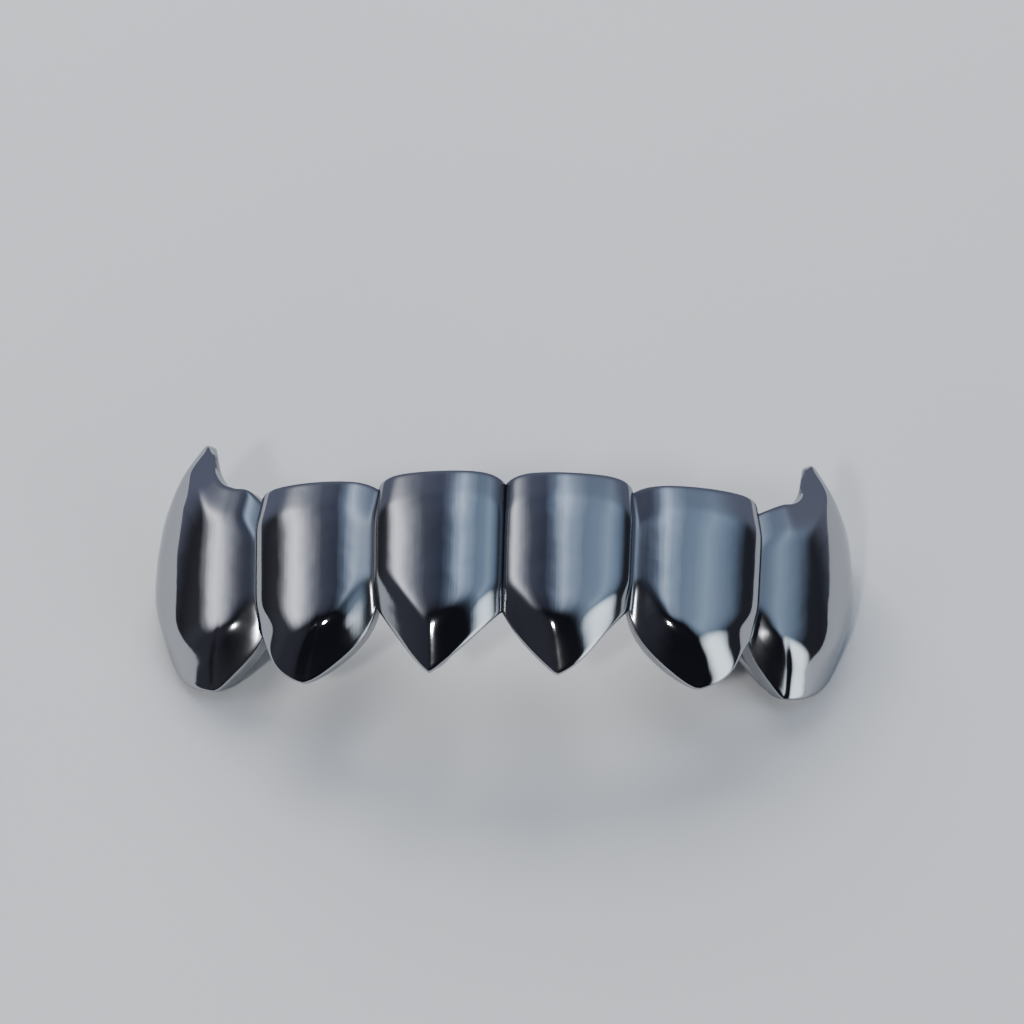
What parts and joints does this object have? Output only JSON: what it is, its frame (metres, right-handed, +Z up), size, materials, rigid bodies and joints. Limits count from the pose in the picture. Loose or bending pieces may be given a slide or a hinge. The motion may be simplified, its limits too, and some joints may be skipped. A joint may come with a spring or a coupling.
{
  "type": "grillz",
  "caption": "Row of pointed metal tooth caps cast in one piece, with high horned ends and claws behind, worn clipped over the front teeth.",
  "frame": {"origin": "on the table under the middle of the row's outline, seen from above", "axes": "+X along the row, to the right as one faces the caps with their tips towards oneself, +Y from the tips towards the gum edge as it lies, +Z up"},
  "size_m": [0.0318, 0.0146, 0.0101],
  "materials": {
    "metal": "mirror polished"
  },
  "bodies": {
    "root": {"cap_row": "metal"}
  },
  "joints": []
}
